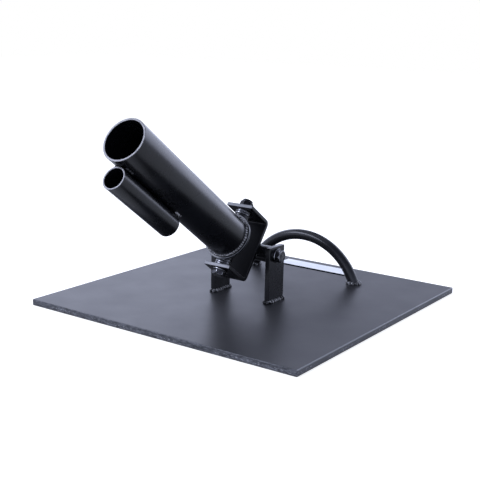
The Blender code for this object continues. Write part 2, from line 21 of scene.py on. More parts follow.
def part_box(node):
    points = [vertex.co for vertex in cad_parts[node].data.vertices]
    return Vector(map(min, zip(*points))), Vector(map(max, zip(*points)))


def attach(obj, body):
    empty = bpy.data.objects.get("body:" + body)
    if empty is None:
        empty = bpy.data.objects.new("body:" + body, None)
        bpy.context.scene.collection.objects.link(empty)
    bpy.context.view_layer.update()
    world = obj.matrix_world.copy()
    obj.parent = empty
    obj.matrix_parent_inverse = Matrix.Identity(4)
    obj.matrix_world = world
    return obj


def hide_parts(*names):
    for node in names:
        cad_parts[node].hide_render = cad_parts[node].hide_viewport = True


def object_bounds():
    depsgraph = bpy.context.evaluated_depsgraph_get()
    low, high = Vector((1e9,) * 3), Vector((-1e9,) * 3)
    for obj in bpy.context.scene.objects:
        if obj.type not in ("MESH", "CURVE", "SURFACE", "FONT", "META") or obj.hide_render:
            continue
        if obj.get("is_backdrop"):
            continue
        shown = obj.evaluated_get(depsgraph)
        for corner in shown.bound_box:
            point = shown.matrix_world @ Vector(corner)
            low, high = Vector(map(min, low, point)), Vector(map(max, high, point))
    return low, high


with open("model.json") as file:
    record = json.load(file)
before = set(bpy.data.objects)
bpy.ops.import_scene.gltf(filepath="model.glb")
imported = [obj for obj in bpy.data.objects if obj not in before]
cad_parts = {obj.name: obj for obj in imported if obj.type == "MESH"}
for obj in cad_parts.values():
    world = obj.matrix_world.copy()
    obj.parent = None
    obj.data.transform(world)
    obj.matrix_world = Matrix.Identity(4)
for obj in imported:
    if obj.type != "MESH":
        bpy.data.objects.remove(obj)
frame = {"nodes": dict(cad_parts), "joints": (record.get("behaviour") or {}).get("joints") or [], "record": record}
bpy.ops.object.select_all(action="DESELECT")
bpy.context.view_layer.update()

# %% [markdown]
# ## Where things are
#
# The pieces belong to three bodies: the base, the yoke that tilts, and the socket that swivels. A piece
# is easiest to build standing upright at the origin, so each body gets a matrix that carries such a
# piece to its place. In all of them, X runs across the object and -Y points the way the tubes do.

# %% Read the axes from the frame
joints = {joint["name"]: joint for joint in frame["joints"]}
mounts = {mount["name"]: mount for mount in frame["record"]["mounts"]}
pivot = Vector(joints["yoke_tilt"]["pos_m"])
swivel = Vector(joints["socket_swivel"]["pos_m"])
swivel_up = Vector(joints["socket_swivel"]["axis"]).normalized()
tube_out = Vector(mounts["large_tube_rim"]["axis"]).normalized()


def place_at(origin, right, up):
    """The matrix that carries an upright piece to origin, with its X to the right and its Z up."""
    back = up.cross(right)
    turn = Matrix((right, back, up)).transposed()
    return Matrix.Translation(origin) @ turn.to_4x4()


on_base = Matrix.Identity(4)
at_pivot = Matrix.Translation(pivot)
on_yoke = place_at(swivel, Vector((1.0, 0.0, 0.0)), swivel_up)
on_socket = place_at(swivel, swivel_up.cross(tube_out), swivel_up)
print("pivot", pivot, "swivel", swivel)

# %% [markdown]
# Sizes are read back from the frame, so that a new piece can't drift from the solid that it stands for.
# A tilted piece has to be measured in its own body's directions, because a box along the room's axes
# would be too big.


# %% Measure a node along a body's own axes
def span(node, matrix):
    """The lowest and highest corner of a node, measured in a body's own directions."""
    inverse = matrix.inverted()
    points = [inverse @ vertex.co for vertex in frame["nodes"][node].data.vertices]
    low = Vector(min(point[axis] for point in points) for axis in range(3))
    high = Vector(max(point[axis] for point in points) for axis in range(3))
    return low, high


tube_low, tube_high = span("large_bar_tube", on_socket)
small_low, small_high = span("small_bar_tube", on_socket)
print("large tube", [round(v * 1000, 2) for v in (*tube_low, *tube_high)])
print("small tube", [round(v * 1000, 2) for v in (*small_low, *small_high)])

# %% [markdown]
# ## Shader maths
#
# A material is a graph of nodes. Adding them one by one hides the idea behind plumbing, so a small
# class wraps a socket and lets sums be written as Python expressions.


# %% A socket that can be used in sums
class Socket:
    """An output socket of a node tree; arithmetic on it adds Math nodes."""

    def __init__(self, tree, output=None):
        self.tree = tree
        self.output = output

    def node(self, kind, settings=(), values=(), output=0):
        """Add a node, make its settings, then fill its sockets with numbers or links."""
        made = self.tree.nodes.new(kind)
        for name, value in dict(settings).items():
            setattr(made, name, value)
        for name, value in dict(values).items():
            if isinstance(value, Socket):
                self.tree.links.new(value.output, made.inputs[name])
            else:
                made.inputs[name].default_value = value
        return Socket(self.tree, made.outputs[output])

    def math(self, operation, other=0.0):
        return self.node("ShaderNodeMath", {"operation": operation}, {0: self, 1: other})

    def __add__(self, other):
        return self.math("ADD", other)

    __radd__ = __add__

    def __sub__(self, other):
        return self.math("SUBTRACT", other)

    def __rsub__(self, other):
        return self.node("ShaderNodeMath", {"operation": "SUBTRACT"}, {0: other, 1: self})

    def __mul__(self, other):
        return self.math("MULTIPLY", other)

    __rmul__ = __mul__

    def __gt__(self, other):
        return self.math("GREATER_THAN", other)

    def smooth(self, low, high):
        """0 below low, 1 above high, and a soft step between them."""
        return self.node("ShaderNodeMapRange", {"interpolation_type": "SMOOTHSTEP"},
                         {0: self, 1: low, 2: high, 3: 0.0, 4: 1.0})

    def mix(self, first, second):
        """Blend two colours, with this socket as the factor."""
        return self.node("ShaderNodeMix", {"data_type": "RGBA"}, {0: self, 6: first, 7: second}, 2)


print("socket maths ready")

# %% [markdown]
# Every finish starts the same way: a Principled shader, and the object's own coordinates, so that a
# pattern stays on its piece when the piece moves. Noise gives the patterns, and a bump turns a pattern
# into fine relief.


# %% Start a material and fill its shader
def shader_of(material):
    """The Principled shader of a material."""
    return material.node_tree.nodes["Principled BSDF"]


def start_material(name):
    """A new material: its Principled shader, a Socket to build with and its object coordinates."""
    made = bpy.data.materials.new(name)
    made.use_nodes = True
    maths = Socket(made.node_tree)
    place = maths.node("ShaderNodeTexCoord", output="Object")
    return made, shader_of(made), maths, place


def feed(shader, name, value):
    """Link a socket of the shader, or set it."""
    if isinstance(value, Socket):
        value.tree.links.new(value.output, shader.inputs[name])
    else:
        shader.inputs[name].default_value = value


def noise(maths, place, size, detail=3.0, rough=0.5):
    """Noise from 0 to 1 with patches of about this size in metres."""
    return maths.node("ShaderNodeTexNoise", {"noise_dimensions": "3D"},
                      {"Vector": place, "Scale": 1.0 / size, "Detail": detail, "Roughness": rough}, "Fac")


def bumped(maths, height, distance):
    """A normal that is tilted by a height map."""
    return maths.node("ShaderNodeBump", {}, {"Height": height, "Distance": distance, "Strength": 1.0},
                      "Normal")


print("material helpers ready")

# %% [markdown]
# ## The satin black coat
#
# Nearly every piece is powder coated. Powder flows out into a skin with a faint orange-peel texture:
# low soft bumps about a millimetre wide. The black is never quite even, so broad patches are a little
# duller than others. Both come from noise, one fine and one coarse.

# %% Powder coat
COAT_BLACK = (0.0020, 0.0022, 0.0032, 1.0)
COAT_WORN = (0.0048, 0.0053, 0.0074, 1.0)
SATIN = 0.27
PATCH_SIZE = 0.050
PATCH_DULL = 0.12
SPECK_SIZE = 0.0030
SPECK_DULL = 0.02
PEEL_SIZE = 0.0011
PEEL_HEIGHT = 0.000004


def powder_coat(name, dull=SATIN, peel=PEEL_HEIGHT, black=COAT_BLACK, worn=COAT_WORN):
    """Powder coat with orange peel and duller patches; dull is its mean roughness."""
    made, shader, maths, place = start_material(name)
    patches = noise(maths, place, PATCH_SIZE, 4.0, 0.55)
    grain = noise(maths, place, PEEL_SIZE, 2.0, 0.4)
    specks = noise(maths, place, SPECK_SIZE, 3.0, 0.6)
    feed(shader, "Base Color", patches.smooth(0.35, 0.75).mix(black, worn))
    mean = (PATCH_DULL + SPECK_DULL) / 2
    feed(shader, "Roughness", patches * PATCH_DULL + specks * SPECK_DULL + (dull - mean))
    feed(shader, "Normal", bumped(maths, grain, peel))
    return made


coat = powder_coat("satin_black_coat")
print("coat:", coat.name)

# %% [markdown]
# In the pocket of the bent bracket the coat is made rough and weak in its reflection, as painted shade
# that keeps the pocket dark. On cut ends, such as the tips of the bracket's arms, it is a lighter grey,
# partly coat rubbed thin and partly a painted highlight. Both are the same recipe with other values,
# which keeps them kin to the satin black around them.

# %% Pocket coat dulled as painted shade, cut-end coat with painted highlight
POCKET_SHADE_DULL = 0.75
POCKET_SHADE_SHEEN = 0.2
RUBBED = 0.30
RUBBED_HIGHLIGHT_DARK = (0.10, 0.105, 0.12, 1.0)
RUBBED_HIGHLIGHT_PALE = (0.22, 0.225, 0.25, 1.0)

# Painted shade: the pocket's coat is made dull and weak in reflection, so that the pocket stays dark.
pocket_shade_coat = powder_coat("pocket_shade_coat", POCKET_SHADE_DULL)
feed(shader_of(pocket_shade_coat), "Specular IOR Level", POCKET_SHADE_SHEEN)
# Painted highlight: the cut ends' lighter grey is partly worn coat and partly light caught on the edges.
cut_end_highlight_coat = powder_coat("cut_end_highlight_coat", RUBBED, black=RUBBED_HIGHLIGHT_DARK, worn=RUBBED_HIGHLIGHT_PALE)
print("coats:", pocket_shade_coat.name, cut_end_highlight_coat.name)

# %% [markdown]
# A weld's crests stand proud, so the coat rubs off them first and bright metal shows, and these bright
# crests are also painted glints. Painting each crest by hand would take long. Pointiness already says how
# far a point stands out from its neighbours, and a coarse noise leaves some of the crests covered. The ring
# weld behind the large tube has the most bright crests, and some short stitches in the shade stay black.

# %% Weld finishes
WELD_BLACK = (0.006, 0.0062, 0.008, 1.0)
WELD_BARE_GLINT = (0.66, 0.66, 0.68, 1.0)
WELD_GRAIN = 0.00003
CREST_FROM = 0.502
CREST_TO = 0.534
RUB_AND_GLINT_SIZE = 0.009


def weld_finish(name, bare_glint_from, bare_glint_to):
    """Coated weld metal whose crests are bright, partly rubbed metal and partly a painted glint; a lower first
    threshold bares more of them.
    """
    made, shader, maths, place = start_material(name)
    # Painted glints: crests found by pointiness turn bright metal, partly rubbed coat and partly painted
    # highlight.
    crest = maths.node("ShaderNodeNewGeometry", output="Pointiness").smooth(CREST_FROM, CREST_TO)
    highlight_mask = crest * noise(maths, place, RUB_AND_GLINT_SIZE, 3.0, 0.6).smooth(bare_glint_from, bare_glint_to)
    grain = noise(maths, place, PEEL_SIZE, 2.0, 0.4)
    feed(shader, "Base Color", highlight_mask.mix(WELD_BLACK, WELD_BARE_GLINT))
    feed(shader, "Metallic", highlight_mask * 0.8)
    feed(shader, "Roughness", grain * 0.10 + 0.22)
    feed(shader, "Normal", bumped(maths, grain, WELD_GRAIN))
    return made


weld_glint_coat = weld_finish("coated_weld", 0.42, 0.56)
ring_weld_glint_coat = weld_finish("ring_weld_glint", 0.34, 0.50)
dark_weld_coat = powder_coat("dark_weld", RUBBED, WELD_GRAIN)
print("welds:", weld_glint_coat.name, ring_weld_glint_coat.name, dark_weld_coat.name)

# %% [markdown]
# ## The plate's coat
#
# The plate has the same coat, a little rougher but with a stronger reflection. Its four sides get
# knocked on every floor, so they are grey, the front one in mottled streaks, with pale scuffs where the
# coat is chipped down to primer. Along the top edge on the right a lighter line is a painted highlight.
#
# Separate materials would need a cut at each border. Masks from the object's coordinates lay the layers
# over one another instead. The streaks are noise that is stretched along the sides.

# %% Scuffed plate coat
PLATE_LOW, PLATE_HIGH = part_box("base_plate")
PLATE_DULL = 0.42
PLATE_SHEEN = 0.68
SCUFF_GREY = (0.34, 0.34, 0.38, 1.0)
SIDE_PLAIN = (0.062, 0.065, 0.078, 1.0)
SIDE_GREY = (0.018, 0.019, 0.024, 1.0)
SIDE_PALE = (0.115, 0.120, 0.140, 1.0)
EDGE_HIGHLIGHT_GREY = (0.20, 0.205, 0.225, 1.0)
RIM = PLATE_HIGH.x - 0.0006
SCUFF_HEIGHT = PLATE_HIGH.z * 0.45
STREAK_SCALE = (0.45, 0.45, 1.6)
STREAK_SIZE = 0.0016
MOTTLE_SIZE = 0.0040
SCUFFED_LENGTH = 0.060
EDGE_HIGHLIGHT_SIZE = 0.020


def plate_coat():
    """The powder coat with grey sides, a painted highlight along the right top edge and pale scuffs."""
    made = powder_coat("plate_coat", PLATE_DULL)
    shader = shader_of(made)
    maths = Socket(made.node_tree)
    place = maths.node("ShaderNodeTexCoord", output="Object")
    x, y, z = [maths.node("ShaderNodeSeparateXYZ", {}, {0: place}, axis) for axis in "XYZ"]
    streaks = maths.node("ShaderNodeMapping", {}, {"Vector": place, "Scale": STREAK_SCALE})

    beside = x.math("ABSOLUTE").math("MAXIMUM", y.math("ABSOLUTE")) > RIM
    front = (y * -1.0) > RIM
    mottle = noise(maths, streaks, MOTTLE_SIZE, 5.0, 0.8).smooth(0.40, 0.64)
    sides = front.mix(SIDE_PLAIN, mottle.mix(SIDE_GREY, SIDE_PALE))

    # Painted highlight: a broken lighter line along the right top edge, where that edge catches light.
    right_rim = x.smooth(RIM - 0.0012, RIM - 0.0004)
    top_edge = z.smooth(PLATE_HIGH.z - 0.0016, PLATE_HIGH.z - 0.0008)
    highlight_mask = right_rim * top_edge * noise(maths, place, EDGE_HIGHLIGHT_SIZE, 4.0, 0.7).smooth(0.16, 0.36)

    level = 1.0 - (z - SCUFF_HEIGHT).math("ABSOLUTE").smooth(0.0010, 0.0030)
    marks = noise(maths, streaks, STREAK_SIZE, 4.0, 0.75).smooth(0.53, 0.63)
    where = noise(maths, place, SCUFFED_LENGTH, 1.0, 0.5).smooth(0.36, 0.54)
    scuffs = beside * level * marks * where

    black = Socket(made.node_tree, shader.inputs["Base Color"].links[0].from_socket)
    # The lighter edge line laid in here is a painted highlight.
    worn = highlight_mask.mix(beside.mix(black, sides), EDGE_HIGHLIGHT_GREY)
    feed(shader, "Base Color", scuffs.mix(worn, SCUFF_GREY))
    feed(shader, "Specular IOR Level", PLATE_SHEEN)
    return made


coat_on_plate = plate_coat()
print("plate coat:", coat_on_plate.name)

# %% [markdown]
# ## Metals
#
# The bolts and washers are black oxide steel, thin and slightly uneven, and the nuts are darker still,
# partly their own black and partly painted shade for the dark room that their faces mirror.
# On their edges the black has rubbed off to bright steel, and this bright edge is also a painted glint;
# it draws the fine outline of a hexagon.
# At the tubes' mouths the bars have rubbed the coat off the cut end, so that thin ring is bare, dull
# steel. One recipe serves for all four: two colours that wander into one another, and a polish that
# wanders with them.

# %% Bolt steel, nut steel with painted shade, worn rims and rubbed edges with painted glints
BLACK_OXIDE = (0.045, 0.046, 0.052, 1.0)
OXIDE_WORN = (0.18, 0.18, 0.19, 1.0)
# Painted shade: the nuts' near-black partly stands for the dark room mirrored in their faces.
NUT_BLACK_AND_SHADE = (0.003, 0.003, 0.004, 1.0)
NUT_GREY_AND_SHADE = (0.022, 0.022, 0.026, 1.0)
DULL_STEEL = (0.105, 0.104, 0.106, 1.0)
BARE_STEEL = (0.175, 0.172, 0.170, 1.0)
# Painted glint: the bright edge colour is partly worn steel and partly light caught by rounded edges.
EDGE_WEAR_GLINT_DARK = (0.12, 0.123, 0.13, 1.0)
EDGE_WEAR_GLINT_BRIGHT = (0.62, 0.63, 0.66, 1.0)
STEEL_PATCH = 0.006
STEEL_GRAIN = 0.0007
STEEL_RELIEF = 0.00001


def steel(name, dark, light, roughness):
    """Steel whose colour and polish wander between two states; roughness is its mean."""
    made, shader, maths, place = start_material(name)
    patches = noise(maths, place, STEEL_PATCH, 4.0, 0.6)
    fine = noise(maths, place, STEEL_GRAIN, 2.0, 0.5)
    feed(shader, "Base Color", patches.smooth(0.35, 0.72).mix(dark, light))
    feed(shader, "Roughness", patches * 0.16 + (roughness - 0.08))
    feed(shader, "Metallic", 0.9)
    feed(shader, "Normal", bumped(maths, fine, STEEL_RELIEF))
    return made


bolt_steel = steel("black_steel", BLACK_OXIDE, OXIDE_WORN, 0.24)
nut_steel_and_shade = steel("grey_steel", NUT_BLACK_AND_SHADE, NUT_GREY_AND_SHADE, 0.34)
rim_steel = steel("worn_rim_steel", DULL_STEEL, BARE_STEEL, 0.38)
edge_wear_glint_steel = steel("rubbed_edge_glint_steel", EDGE_WEAR_GLINT_DARK, EDGE_WEAR_GLINT_BRIGHT, 0.24)
print("steels:", bolt_steel.name, nut_steel_and_shade.name, rim_steel.name, edge_wear_glint_steel.name)

# %% [markdown]
# ## Modelling helpers
#
# The pieces are modelled as by hand: a primitive, some edit mode operators, then modifiers. An operator
# acts on what is selected, and a script has no mouse to click with, so the first helper picks edges or
# faces by where they are.


# %% Pick edges or faces
def pick(kind, test):
    """In edit mode, select the edges or faces whose middle passes the test."""
    bpy.ops.mesh.select_mode(type=kind)
    bpy.ops.mesh.select_all(action="DESELECT")
    edited = bmesh.from_edit_mesh(bpy.context.object.data)
    for part in {"EDGE": edited.edges, "FACE": edited.faces}[kind]:
        middle = sum((corner.co for corner in part.verts), Vector()) / len(part.verts)
        if test(middle):
            part.select_set(True)
    edited.select_flush_mode()
    bmesh.update_edit_mesh(bpy.context.object.data)


def edit():
    """Go into edit mode on the active piece."""
    bpy.ops.object.mode_set(mode="EDIT")


def face_outwards():
    """In edit mode, select everything and turn all faces outwards."""
    bpy.ops.mesh.select_all(action="SELECT")
    bpy.ops.mesh.normals_make_consistent(inside=False)


def done():
    """Leave edit mode."""
    bpy.ops.object.mode_set(mode="OBJECT")


print("edit helpers ready")

# %% [markdown]
# No real edge is sharp, and the thin line of light on a rounded edge is what makes steel look like
# steel. A Bevel modifier finds the sharp edges by their angle. It can give the new faces a finish of
# their own, which is how edges get their rubbed steel and its painted glint.


# %% Modifiers, Booleans and rounded edges
def modify(piece, kind, **settings):
    """Add a modifier with these settings and apply it."""
    step = piece.modifiers.new(kind.title(), kind)
    for name, value in settings.items():
        setattr(step, name, value)
    bpy.context.view_layer.objects.active = piece
    bpy.ops.object.modifier_apply(modifier=step.name)


def cut(piece, tool, operation="DIFFERENCE"):
    """Cut, join or intersect a piece with a helper, then take the helper away."""
    modify(piece, "BOOLEAN", operation=operation, solver="EXACT", object=tool)
    bpy.data.objects.remove(tool, do_unlink=True)


def round_edges(piece, width, steps=3, angle=35.0, finishes=()):
    """Smooth the piece and round its sharp edges; the last finish goes on the edges."""
    for finish in finishes:
        piece.data.materials.append(finish)
    piece.data.shade_smooth()
    modify(piece, "BEVEL", width=width, segments=steps, limit_method="ANGLE",
           angle_limit=math.radians(angle), harden_normals=True, material=len(finishes) - 1)


print("modifier helpers ready")

# %% [markdown]
# A finished piece has its place in its mesh, with its object at the origin, so that it rides on its
# body in any pose. One helper does this for all pieces and hides the solids that the piece stands for.


# %% Hand a piece to its body
def hand_over(piece, name, matrix, body, nodes, finish):
    """Put a piece's place into its mesh, name it, give it its finish and let it ride on its body."""
    bpy.ops.object.select_all(action="DESELECT")
    piece.name = name
    piece.data.name = name
    piece.data.transform(matrix @ piece.matrix_basis)
    piece.matrix_basis = Matrix.Identity(4)
    if not piece.data.materials:
        piece.data.materials.append(finish)
    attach(piece, body)
    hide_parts(*nodes)
    print(name, len(piece.data.polygons), "faces")
    return piece


print("ready to hand pieces over")

# %% [markdown]
# ## The base plate
#
# It is a square of 9 mm plate, cut by laser. Its corners are barely rounded, and the coat softens all
# its edges. A cube is scaled to the plate's box, its four upright edges are bevelled for the corners,
# and a bevel modifier rounds the rest.

# %% Base plate
CORNER_RADIUS = 0.002
PLATE_EDGE = 0.0012
NEAR_ZERO = 1e-5


def add_block(low, high):
    """A cube primitive that fills the box between two corners, its scale applied."""
    middle = (Vector(low) + Vector(high)) / 2
    bpy.ops.mesh.primitive_cube_add(size=1.0, location=middle)
    block = bpy.context.object
    block.scale = Vector(high) - Vector(low)
    bpy.ops.object.transform_apply(location=False, rotation=False, scale=True)
    return block


plate = add_block(PLATE_LOW, PLATE_HIGH)
edit()
pick("EDGE", lambda middle: abs(middle.z) < NEAR_ZERO)
bpy.ops.mesh.bevel(offset=CORNER_RADIUS, segments=6, affect="EDGES")
done()
round_edges(plate, PLATE_EDGE)
hand_over(plate, "plate_body", on_base, "base", ["base_plate"], coat_on_plate)

# %% [markdown]
# ## The uprights
#
# Both are short lengths of flat bar with the top corners knocked off and one hole for the pivot bolt.
# The hole is cut with a Boolean, which needs a cylinder that runs through the bar and out of both
# sides.

# %% Uprights
UPRIGHT_CORNER = 0.002
UPRIGHT_EDGE = 0.0006
HOLE_RADIUS = 0.0055
DRILL_LENGTH = 0.03


def upright(side):
    """One upright, with its top corners rounded and its bolt hole cut."""
    node = "upright_" + side
    low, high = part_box(node)
    bar = add_block(low, high)
    half = (high.z - low.z) / 2
    edit()
    pick("EDGE", lambda middle: abs(middle.x) < NEAR_ZERO and middle.z > 0.9 * half)
    bpy.ops.mesh.bevel(offset=UPRIGHT_CORNER, segments=4, affect="EDGES")
    done()
    bpy.ops.mesh.primitive_cylinder_add(vertices=48, radius=HOLE_RADIUS, depth=DRILL_LENGTH,
                                        location=(bar.location.x, pivot.y, pivot.z),
                                        rotation=(0.0, math.pi / 2, 0.0))
    cut(bar, bpy.context.object)
    round_edges(bar, UPRIGHT_EDGE)
    hand_over(bar, node + "_body", on_base, "base", [node], coat)


for side in ("right", "left"):
    upright(side)

# %% [markdown]
# ## The carry handle
#
# The handle is one length of round bar bent to an arc and cut level with the plate. Spin is made for
# this: it sweeps a disc about a centre. Its two ends start below the plate's face, and bisect then cuts
# both off level.

# %% Carry handle
SEAT_GAP = 0.0003
MERGE_DISTANCE = 1e-6
BELOW_PLATE = math.radians(6.0)
HALF_SPAN = 0.094
PLATE_TOP = PLATE_HIGH.z
handle_low, handle_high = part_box("carry_handle")
handle_y = (handle_low.y + handle_high.y) / 2
bar_radius = (handle_high.y - handle_low.y) / 2
arc_rise = handle_high.z - bar_radius - PLATE_TOP
arc_radius = (HALF_SPAN ** 2 + arc_rise ** 2) / (2 * arc_rise)
arc_centre = Vector((0.0, handle_y, PLATE_TOP + arc_rise - arc_radius))
foot_angle = math.asin((PLATE_TOP - arc_centre.z) / arc_radius)


def handle():
    """The bent bar, swept as an arc and cut level at the plate."""
    start = foot_angle - BELOW_PLATE
    sweep = math.pi - 2 * start
    first = arc_centre + arc_radius * Vector((math.cos(start), 0.0, math.sin(start)))
    bpy.ops.mesh.primitive_circle_add(vertices=40, radius=bar_radius, fill_type="NGON", location=first,
                                      rotation=(0.0, -start, 0.0))
    bar = bpy.context.object
    bpy.ops.object.transform_apply(location=True, rotation=True, scale=True)
    edit()
    bpy.ops.mesh.select_all(action="SELECT")
    bpy.ops.mesh.spin(steps=96, angle=sweep, center=arc_centre, axis=(0.0, 1.0, 0.0))
    bpy.ops.mesh.select_all(action="SELECT")
    bpy.ops.mesh.remove_doubles(threshold=MERGE_DISTANCE)
    face_outwards()
    bpy.ops.mesh.bisect(plane_co=(0.0, 0.0, PLATE_TOP + SEAT_GAP), plane_no=(0.0, 0.0, 1.0),
                        use_fill=True, clear_inner=True)
    done()
    bpy.ops.object.shade_smooth_by_angle(angle=math.radians(35.0))
    hand_over(bar, "carry_handle_bar", on_base, "base", ["carry_handle"], coat)


handle()

# %% [markdown]
# ## Tubes, washers and barrels
#
# All of these are rings of different lengths. A circle is drawn up into an open wall, Solidify gives
# the wall its thickness inwards, and a bevel takes the sharpness off the rims. One function serves for
# the long tubes and for the thin washers.


# %% Rings of any length
def ring(radius, bore, low, high, rim, sides=96, finishes=()):
    """A tube or washer about Z between two heights, with its rims rounded."""
    bpy.ops.mesh.primitive_circle_add(vertices=sides, radius=radius, fill_type="NOTHING",
                                      location=(0.0, 0.0, low))
    piece = bpy.context.object
    bpy.ops.object.transform_apply(location=True, rotation=False, scale=False)
    edit()
    bpy.ops.mesh.select_all(action="SELECT")
    bpy.ops.mesh.extrude_region_move(TRANSFORM_OT_translate={"value": (0.0, 0.0, high - low)})
    face_outwards()
    done()
    modify(piece, "SOLIDIFY", thickness=radius - bore, offset=-1.0, use_even_offset=True)
    round_edges(piece, rim, 2, finishes=finishes)
    return piece


out_of_tube = on_socket @ Matrix.Rotation(math.pi / 2, 4, "X")
print("ring helper ready")

# %% [markdown]
# The rims of the two tubes' mouths are rubbed bare, so the faces at the very end of each tube get the
# worn steel, and the rest gets the coat. A piece with two finishes has two material slots, and each
# face holds the number of its slot.

# %% Large and small tube
LARGE_WALL = 0.003
SMALL_WALL = 0.0025
MOUTH_ROUND = 0.0006
large_radius = (tube_high.x - tube_low.x) / 2
small_radius = (small_high.x - small_low.x) / 2
small_drop = (small_high.z + small_low.z) / 2


def bar_tube(name, node, radius, wall, low, high, drop):
    """One bar tube, coated, with a bare ring at its mouth."""
    tube = ring(radius, radius - wall, low, high, MOUTH_ROUND, 128)
    tube.data.materials.append(coat)
    tube.data.materials.append(rim_steel)
    for face in tube.data.polygons:
        if face.center.z > high - 0.8 * MOUTH_ROUND and face.normal.z > 0.3:
            face.material_index = 1
    matrix = out_of_tube @ Matrix.Translation((0.0, drop, 0.0))
    hand_over(tube, name, matrix, "socket", [node], coat)


bar_tube("large_tube", "large_bar_tube", large_radius, LARGE_WALL, -tube_high.y, -tube_low.y, 0.0)
bar_tube("small_tube", "small_bar_tube", small_radius, SMALL_WALL, -small_high.y, -small_low.y, small_drop)

# %% [markdown]
# ## The end plate
#
# A plain disc closes the large tube. It stands a few millimetres proud all round, which leaves a ledge
# for the weld. Its rounded edge gets a lighter grey, partly coat knocked thin by hands and bars and
# partly a painted highlight along the rim. A cylinder between two heights is needed for this piece and
# for many later ones, so it gets a helper.

# %% End plate
DISC_EDGE = 0.0008
disc_low, disc_high = span("tube_end_plate", on_socket)
disc_radius = (disc_high.x - disc_low.x) / 2


def rod(radius, low, high, sides=64, turn=0.0):
    """A cylinder primitive about Z between two heights."""
    bpy.ops.mesh.primitive_cylinder_add(vertices=sides, radius=radius, depth=high - low,
                                        location=(0.0, 0.0, (low + high) / 2), rotation=(0.0, 0.0, turn))
    return bpy.context.object


disc = rod(disc_radius, -disc_high.y, -disc_low.y, 128)
# The edge's lighter grey is partly a painted highlight along the rim.
round_edges(disc, DISC_EDGE, finishes=(coat, cut_end_highlight_coat))
hand_over(disc, "end_plate", out_of_tube, "socket", ["tube_end_plate"], coat)

# %% [markdown]
# ## The yoke bracket
#
# One flat bar is bent twice into a U with a tight bend at either end of its back. The bar's outer faces
# are three sides of a box, so a cube loses its other three faces, its two corner edges are bevelled to
# the bend radius, and Solidify grows the steel inwards. The lower arm is cut a little shorter.
#
# Three finishes meet on it. The faces that look out of the U are told apart by how far forward they
# lie: those at the arms' tips are cut ends with a lighter grey that is partly a painted highlight, and
# the one at the back is the pocket, dulled as painted shade.

# %% Yoke bracket
YOKE_STEEL = 0.005
YOKE_BEND = 0.008
YOKE_EDGE = 0.0007
LOWER_ARM_SHORTER = 0.003
POCKET_SHADE_SLOT = 1
CUT_END_HIGHLIGHT_SLOT = 2
yoke_low, yoke_high = span("yoke_bracket", on_yoke)


def yoke_bracket():
    """The bent bar with its two bolt holes and its three finishes."""
    bar = add_block(yoke_low, yoke_high)
    back = (yoke_high.y - yoke_low.y) / 2
    side = (yoke_high.x - yoke_low.x) / 2
    top = (yoke_high.z - yoke_low.z) / 2
    edit()
    pick("FACE", lambda middle: middle.y < -0.9 * back or abs(middle.x) > 0.9 * side)
    bpy.ops.mesh.delete(type="FACE")
    pick("EDGE", lambda middle: middle.y < -0.9 * back and middle.z < -0.9 * top)
    bpy.ops.transform.translate(value=(0.0, LOWER_ARM_SHORTER, 0.0))
    pick("EDGE", lambda middle: middle.y > 0.9 * back and abs(middle.z) > 0.9 * top)
    bpy.ops.mesh.bevel(offset=YOKE_BEND, segments=10, affect="EDGES")
    face_outwards()
    done()
    modify(bar, "SOLIDIFY", thickness=YOKE_STEEL, offset=-1.0, use_even_offset=True)
    cut(bar, rod(HOLE_RADIUS, 2 * yoke_low.z, 2 * yoke_high.z, 48))
    round_edges(bar, YOKE_EDGE)
    for finish in (coat, pocket_shade_coat, cut_end_highlight_coat):
        bar.data.materials.append(finish)
    # The pocket face gets the coat dulled as painted shade, and the arms' tips get the painted highlight.
    for face in bar.data.polygons:
        if face.normal.y < -0.9 and abs(face.center.x) < side:
            face.material_index = POCKET_SHADE_SLOT if face.center.y > -0.5 * back else CUT_END_HIGHLIGHT_SLOT
    hand_over(bar, "yoke_bar", on_yoke, "yoke", ["yoke_bracket"], coat)


yoke_bracket()

# %% [markdown]
# ## Barrels and washers
#
# The two barrels are thick short tubes that turn on the bolts. The washers fill what is left between
# each barrel and its bracket, so that the joint can't rattle. Their thickness and place are read from
# the frame. The washers' rims are bright steel, partly rubbed and partly a painted glint.

# %% Barrels and washers
WASHER_EDGE = 0.0007
along_x = Matrix.Rotation(math.pi / 2, 4, "Y")


def flat_ring(name, node, matrix, axis, body, finish):
    """Stand a ring in for a round node about one axis of a body."""
    low, high = span(node, matrix)
    radius = max((high - low)[other] for other in range(3) if other != axis) / 2
    turn = along_x if axis == 0 else Matrix.Identity(4)
    # Steel washers get the bright edge steel on their rims, partly a painted glint.
    finishes = (finish, edge_wear_glint_steel) if finish is bolt_steel else ()
    piece = ring(radius, HOLE_RADIUS, low[axis], high[axis], WASHER_EDGE, 64, finishes)
    hand_over(piece, name, matrix @ turn, body, [node], finish)


flat_ring("pivot_barrel_body", "pivot_barrel", at_pivot, 0, "yoke", coat)
flat_ring("swivel_barrel_body", "swivel_barrel", on_socket, 2, "socket", coat)
for node in ("pivot_washer_right", "pivot_washer_left", "thrust_washer_right", "thrust_washer_left"):
    flat_ring(node + "_ring", node, at_pivot, 0, "base", bolt_steel)
for node in ("swivel_washer_upper", "swivel_washer_lower"):
    flat_ring(node + "_ring", node, on_yoke, 2, "yoke", bolt_steel)
for node in ("lower_shim_1", "lower_shim_2", "lower_shim_3", "upper_shim_1", "upper_shim_2"):
    flat_ring(node + "_ring", node, on_socket, 2, "socket", bolt_steel)

# %% [markdown]
# ## Bolts and nuts
#
# A forged hexagon has its corners trimmed by a cone, which leaves curved edges on its six sides. That
# shape is the overlap of a prism and a cone, so a Boolean intersection makes it. The cone starts a
# little inside the flats, at 0.94 of their half width.

